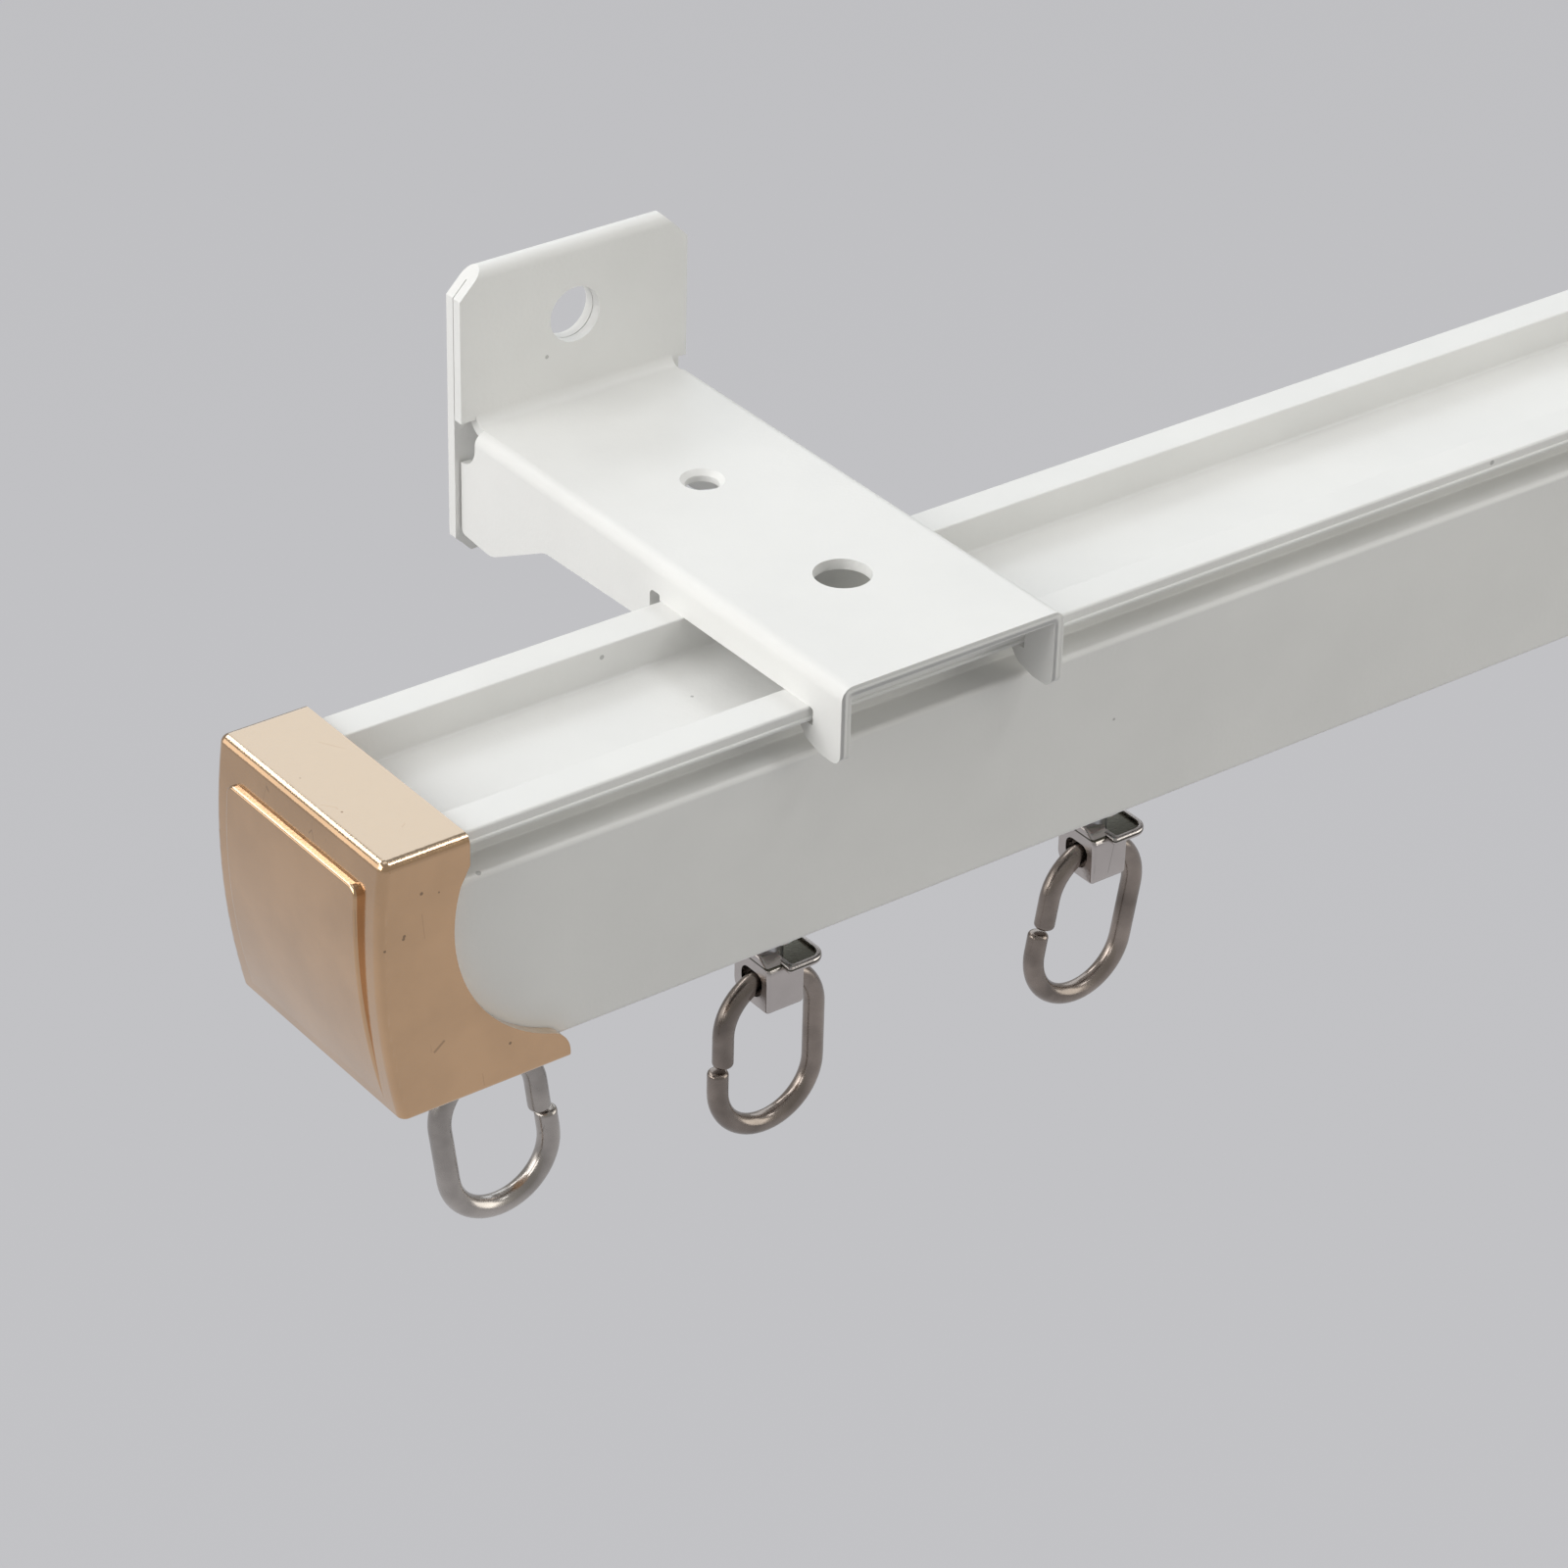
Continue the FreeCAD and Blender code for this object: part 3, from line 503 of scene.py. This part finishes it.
@dataclass(frozen=True)
class Plating:
    """Bright plating on a moulded or cast piece: soft grain, hairline scratches and small pits.

    Where a face looks up it turns to the top colour, which is painted light: a paler painted sheen
    on the plating of the caps and darker painted shade on the casting of the hangers. It is the
    piece's own colour if none is given. A dish level, in metres, gives the dark dish colour, which
    is painted shade, to the faces at that height.
    """

    name: str
    colour: Colour
    # The top colour: painted light on faces that look up
    painted_top_colour: Colour | None = None
    roughness: float = 0.3
    grain: float = 0.03
    pit_share: float = 0.05
    coat_weight: float = 0.0
    scratch_share: float = 0.2
    variation: float = 0.08
    # Painted shade in the dish of a hanger's flange
    dish_painted_shade: Colour = (0.10, 0.095, 0.075)
    dish_level: float | None = None

    def material(self, shop: Workshop) -> bpy.types.Material:
        """Builds the material.

        Args:
            shop: The shared effects.

        Returns:
            The material.
        """
        coat = Coat(self.name, shop)
        tone = coat.effect(shop.mottle, Scale=160.0, Detail=5.0)
        darker = shaded(self.colour, 1 - self.variation)
        lighter = shaded(self.colour, 1 + self.variation / 2)
        colour = coat.blend(tone.outputs["Value"], darker, lighter)
        # Painted light: faces that look up take the top colour, standing in for how light falls on
        # them
        painted_top_mask = coat.effect(shop.painted_top_mask)
        colour = coat.over(colour, painted_top_mask.outputs["Mask"], self.painted_top_colour or self.colour)
        scratches = coat.effect(shop.scratches, Share=self.scratch_share)
        colour = coat.over(colour, scratches.outputs["Mask"], shaded(self.colour, 0.7))
        # Painted shade: the dish floor takes a dark colour
        if self.dish_level is not None:
            dish = coat.effect(shop.band, Level=self.dish_level)
            colour = coat.over(colour, dish.outputs["Mask"], self.dish_painted_shade)
        pits = coat.effect(shop.specks, Scale=620.0, Size=0.10, Share=self.pit_share)
        colour = coat.over(colour, pits.outputs["Mask"], shaded(self.colour, 0.45))
        coat.join(colour, "Base Color")
        smooth, rough = 0.8 * self.roughness, 1.25 * self.roughness
        coat.join(coat.ranged(tone.outputs["Height"], smooth, rough), "Roughness")
        grain = coat.effect(shop.mottle, Scale=700.0, Detail=3.0)
        coat.bump(grain.outputs["Height"], self.grain * MM, 0.3)
        coat.set(Metallic=1.0, Coat_Weight=self.coat_weight, Coat_Roughness=0.06)
        return coat.material


@dataclass(frozen=True)
class Nylon:
    """Moulded nylon: milky, with a soft sheen and flow marks."""

    name: str
    colour: Colour
    roughness: float = 0.45

    def material(self, shop: Workshop) -> bpy.types.Material:
        """Builds the material.

        Args:
            shop: The shared effects.

        Returns:
            The material.
        """
        coat = Coat(self.name, shop)
        tone = coat.effect(shop.mottle, Scale=120.0, Detail=3.0)
        darker = shaded(self.colour, 0.94)
        coat.join(coat.blend(tone.outputs["Value"], darker, self.colour), "Base Color")
        smooth, rough = self.roughness - 0.06, self.roughness + 0.06
        coat.join(coat.ranged(tone.outputs["Height"], smooth, rough), "Roughness")
        coat.bump(tone.outputs["Height"], 0.02 * MM, 0.3)
        coat.set(Subsurface_Weight=0.15, Subsurface_Scale=0.6 * MM, IOR=1.53)
        return coat.material


WHITE = (0.862, 0.860, 0.842)
RAIL_PAINT = Paint("rail_white_paint", WHITE, drawn=0.012)
SHEET_PAINT = Paint("bracket_white_paint", WHITE, roughness=0.42, peel=0.07, speck_share=0.05,
                    edge_round=0.35)
# Its top colour is a painted sheen, paler where faces look up toward the lamps
CHAMPAGNE = Plating("champagne_plating", (0.74, 0.472, 0.266), (0.640, 0.483, 0.336),
                    roughness=0.14, pit_share=0.12, coat_weight=1.0)
NICKEL_WIRE = Plating("nickel_wire", (0.35, 0.295, 0.26), roughness=0.25, grain=0.004,
                      coat_weight=0.35, variation=0.4)
END_WIRE = Plating("end_ring_wire", (0.50, 0.46, 0.43), roughness=0.24, grain=0.004,
                   coat_weight=0.4, variation=0.3)
# Its top colour is painted shade, darker where faces look up into the rail's shadow
NICKEL_CAST = Plating("nickel_casting", (0.60, 0.555, 0.535), (0.52, 0.48, 0.46), roughness=0.2)
ZINC = Plating("zinc_pin", (0.62, 0.63, 0.65), roughness=0.34)
NYLON = Nylon("carriage_nylon", (0.80, 0.80, 0.77))
WHEEL_NYLON = Nylon("wheel_nylon", (0.72, 0.73, 0.72), roughness=0.5)


def dress(node: str, material: bpy.types.Material) -> None:
    """Gives a CAD node its finish.

    Args:
        node: The node's name.
        material: Its finish.
    """
    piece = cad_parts[node]
    if piece.material_slots:
        for place in piece.material_slots:
            place.material = material
    else:
        piece.data.materials.append(material)
    log.info("dressed %s", node)


@dataclass
class Rail:
    """The extruded rail."""

    finish: bpy.types.Material

    def build(self) -> None:
        """Dresses the rail."""
        dress("rail", self.finish)


@dataclass
class EndCap:
    """A plated end cap with the wire ring that hangs in its lug."""

    side: Side
    finish: bpy.types.Material
    wire: bpy.types.Material

    def build(self) -> None:
        """Dresses the cap and its ring."""
        dress(f"end_cap_{self.side.value}", self.finish)
        dress(f"end_ring_{self.side.value}", self.wire)


@dataclass
class Bracket:
    """A folded sheet bracket."""

    side: Side
    finish: bpy.types.Material

    def build(self) -> None:
        """Dresses the bracket."""
        dress(f"bracket_{self.side.value}", self.finish)


@dataclass
class Glider:
    """One glider with its wheels, hanger and ring."""

    number: int
    nylon: bpy.types.Material
    wheel: bpy.types.Material
    pin: bpy.types.Material
    casting: bpy.types.Material
    wire: bpy.types.Material

    @staticmethod
    def dish_level(below_crest: float = 0.8 * MM) -> float:
        """Height of the dish in the hangers' flange.

        Args:
            below_crest: How far the dish lies below the hanger's crest.

        Returns:
            The height, in metres.
        """
        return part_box("hanger_1")[1][2] - below_crest

    def build(self) -> None:
        """Dresses every piece of the glider."""
        finishes = {
            "carriage": self.nylon,
            "wheel_front": self.wheel,
            "wheel_rear": self.wheel,
            "axle": self.pin,
            "swivel_pin": self.pin,
            "hanger": self.casting,
            "ring": self.wire,
        }
        for kind, material in finishes.items():
            dress(f"{kind}_{self.number}", material)


@dataclass
class Lamp:
    """A soft studio light aimed at a point, square or a strip that lies level."""

    name: str
    where: tuple[float, float, float]
    aim: tuple[float, float, float]
    length: float
    width: float
    power: float
    colour: Colour

    def build(self) -> None:
        """Adds the light, unseen by the camera."""
        data = bpy.data.lights.new(self.name, "AREA")
        data.shape = "RECTANGLE"
        data.size = self.length
        data.size_y = self.width
        data.energy = self.power
        data.color = self.colour
        lamp = bpy.data.objects.new(self.name, data)
        lamp.location = self.where
        lamp.rotation_mode = "QUATERNION"
        lamp.rotation_quaternion = (Vector(self.aim) - Vector(self.where)).to_track_quat("-Z", "Y")
        lamp.visible_camera = False
        bpy.context.scene.collection.objects.link(lamp)
        log.info("lit %s", self.name)


@dataclass
class Studio:
    """Floor, background, lights and camera. Lengths are in metres, the roll in degrees."""

    aim: tuple[float, float, float] = (-0.100, -0.045, -0.020)
    backdrop: Colour = linear(196, 196, 199)
    ambient: float = 0.34
    ambient_colour: Colour = (1.0, 0.99, 0.96)
    floor_drop: float = 0.45
    floor_half: float = 6.0
    floor_camera_share: float = 0.9
    floor_mirror_share: float = 0.6
    lamp_distance: float = 0.95
    sensor: float = 36.0
    lens_ratio: float = 3.1956
    camera_at: tuple[float, float, float] = (-0.31958, -0.32453, 0.19500)
    camera_aim: tuple[float, float, float] = (-0.10602, -0.04557, -0.02264)
    camera_roll: float = 1.52

    def build(self) -> None:
        """Builds the whole studio."""
        self.build_world()
        self.build_floor()
        self.build_lamps()
        self.build_camera()
        log.info("studio ready")

    def build_world(self) -> None:
        """A plain pale world whose brightness for the camera is the backdrop's."""
        world = bpy.data.worlds.new("studio")
        bpy.context.scene.world = world
        world.use_nodes = True
        tree = world.node_tree
        light = tree.nodes["Background"]
        light.inputs["Color"].default_value = (*self.ambient_colour, 1)
        light.inputs["Strength"].default_value = self.ambient
        seen = tree.nodes.new("ShaderNodeBackground")
        seen.inputs["Color"].default_value = (*self.backdrop, 1)
        self.mix_for_viewing(tree, light.outputs[0], seen.outputs[0],
                             tree.nodes["World Output"].inputs["Surface"])

    def build_floor(self) -> None:
        """A plain pale floor that keeps a soft shadow and is clear when seen from below."""
        mesh = bpy.data.meshes.new("studio_floor")
        shape = bmesh.new()
        bmesh.ops.create_grid(shape, x_segments=1, y_segments=1, size=self.floor_half)
        shape.to_mesh(mesh)
        shape.free()
        floor = bpy.data.objects.new("studio_floor", mesh)
        floor.location = (self.aim[0], self.aim[1], self.aim[2] - self.floor_drop)
        bpy.context.scene.collection.objects.link(floor)
        material = bpy.data.materials.new("studio_floor")
        material.use_nodes = True
        tree = material.node_tree
        tree.nodes.remove(tree.nodes["Principled BSDF"])
        matt = tree.nodes.new("ShaderNodeBsdfDiffuse")
        matt.inputs["Color"].default_value = (*self.backdrop, 1)
        seen = tree.nodes.new("ShaderNodeEmission")
        seen.inputs["Color"].default_value = (*self.backdrop, 1)
        clear = tree.nodes.new("ShaderNodeBsdfTransparent")
        surface = tree.nodes.new("ShaderNodeNewGeometry")
        from_below = tree.nodes.new("ShaderNodeMixShader")
        self.mix_for_viewing(tree, matt.outputs[0], seen.outputs[0], from_below.inputs[1],
                             self.floor_camera_share, self.floor_mirror_share)
        tree.links.new(surface.outputs["Backfacing"], from_below.inputs[0])
        tree.links.new(clear.outputs[0], from_below.inputs[2])
        tree.links.new(from_below.outputs[0], tree.nodes["Material Output"].inputs["Surface"])
        mesh.materials.append(material)

    def mix_for_viewing(self, tree: bpy.types.NodeTree, lit: bpy.types.NodeSocket,
                        seen: bpy.types.NodeSocket, target: bpy.types.NodeSocket,
                        camera_share: float = 1.0, mirror_share: float = 0.0) -> None:
        """Shows one shader to the camera, partly to reflections, and another to everything else.

        Args:
            tree: The node tree.
            lit: The shader that lights the object.
            seen: The shader that is looked at.
            target: Where the mix goes.
            camera_share: How much of the seen shader the camera gets.
            mirror_share: How much of it a reflection gets.
        """
        path = tree.nodes.new("ShaderNodeLightPath")
        shares = []
        for ray, share in (("Is Camera Ray", camera_share), ("Is Glossy Ray", mirror_share)):
            part = tree.nodes.new("ShaderNodeMath")
            part.operation = "MULTIPLY"
            part.inputs[1].default_value = share
            tree.links.new(path.outputs[ray], part.inputs[0])
            shares.append(part.outputs[0])
        total = tree.nodes.new("ShaderNodeMath")
        total.operation = "MAXIMUM"
        tree.links.new(shares[0], total.inputs[0])
        tree.links.new(shares[1], total.inputs[1])
        mix = tree.nodes.new("ShaderNodeMixShader")
        tree.links.new(total.outputs[0], mix.inputs[0])
        tree.links.new(lit, mix.inputs[1])
        tree.links.new(seen, mix.inputs[2])
        tree.links.new(mix.outputs[0], target)

    def build_lamps(self) -> None:
        """Two bright strips above, a broad light from the left, a rear one and weak fills.

        Each row is a name, a direction, a length, a width, a power in watts and a colour.
        """
        aim = Vector(self.aim)
        plan = (
            ("strip_back", (-0.32, 0.66, 0.64), 0.85, 0.20, 1.6, (0.98, 0.99, 1.0)),
            ("strip_right", (0.50, -0.15, 0.85), 0.80, 0.14, 1.6, (0.97, 0.985, 1.0)),
            ("key", (0.00, 0.20, 0.98), 0.50, 0.50, 0.55, (0.97, 0.985, 1.0)),
            ("left", (-0.88, 0.10, 0.46), 0.70, 0.70, 5.2, (1.0, 1.0, 0.99)),
            ("back_left", (-0.74, 0.64, 0.16), 0.50, 0.50, 0.7, (1.0, 0.99, 0.97)),
            ("rear", (0.56, 0.68, 0.50), 0.80, 0.60, 1.4, (0.84, 0.92, 1.0)),
            ("front_right", (0.80, -0.55, 0.22), 0.70, 0.70, 2.5, (1.0, 0.985, 0.92)),
        )
        for name, direction, length, width, power, colour in plan:
            where = aim + Vector(direction).normalized() * self.lamp_distance
            Lamp(name, tuple(where), self.aim, length, width, power, colour).build()

    def build_camera(self) -> None:
        """The camera at the photograph's viewing point."""
        data = bpy.data.cameras.new("camera")
        data.sensor_width = self.sensor
        data.lens = self.sensor * self.lens_ratio
        data.clip_start = 0.02
        data.clip_end = 20.0
        camera = bpy.data.objects.new("camera", data)
        back = (Vector(self.camera_at) - Vector(self.camera_aim)).normalized()
        right = Vector((0, 0, 1)).cross(back).normalized()
        up = back.cross(right)
        roll = math.radians(self.camera_roll)
        tilted = math.cos(roll) * right + math.sin(roll) * up
        upright = math.cos(roll) * up - math.sin(roll) * right
        turn = Matrix((tilted, upright, back)).transposed()
        camera.matrix_world = Matrix.Translation(self.camera_at) @ turn.to_4x4()
        bpy.context.scene.collection.objects.link(camera)
        bpy.context.scene.camera = camera


def main() -> None:
    """Builds the looks in order."""
    logging.basicConfig(level=logging.INFO, format="%(message)s")
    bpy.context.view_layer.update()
    bpy.context.scene.view_settings.view_transform = "Standard"
    shop = Workshop()
    Studio().build()
    Rail(RAIL_PAINT.material(shop)).build()
    plating, end_wire = CHAMPAGNE.material(shop), END_WIRE.material(shop)
    sheet = SHEET_PAINT.material(shop)
    for side in Side:
        EndCap(side, plating, end_wire).build()
        Bracket(side, sheet).build()
    nylon, wheel = NYLON.material(shop), WHEEL_NYLON.material(shop)
    pin, wire = ZINC.material(shop), NICKEL_WIRE.material(shop)
    # The dish in each hanger's flange gets painted shade
    casting = replace(NICKEL_CAST, dish_level=Glider.dish_level()).material(shop)
    for number in range(1, GLIDERS + 1):
        Glider(number, nylon, wheel, pin, casting, wire).build()


if __name__ == "__main__":
    main()
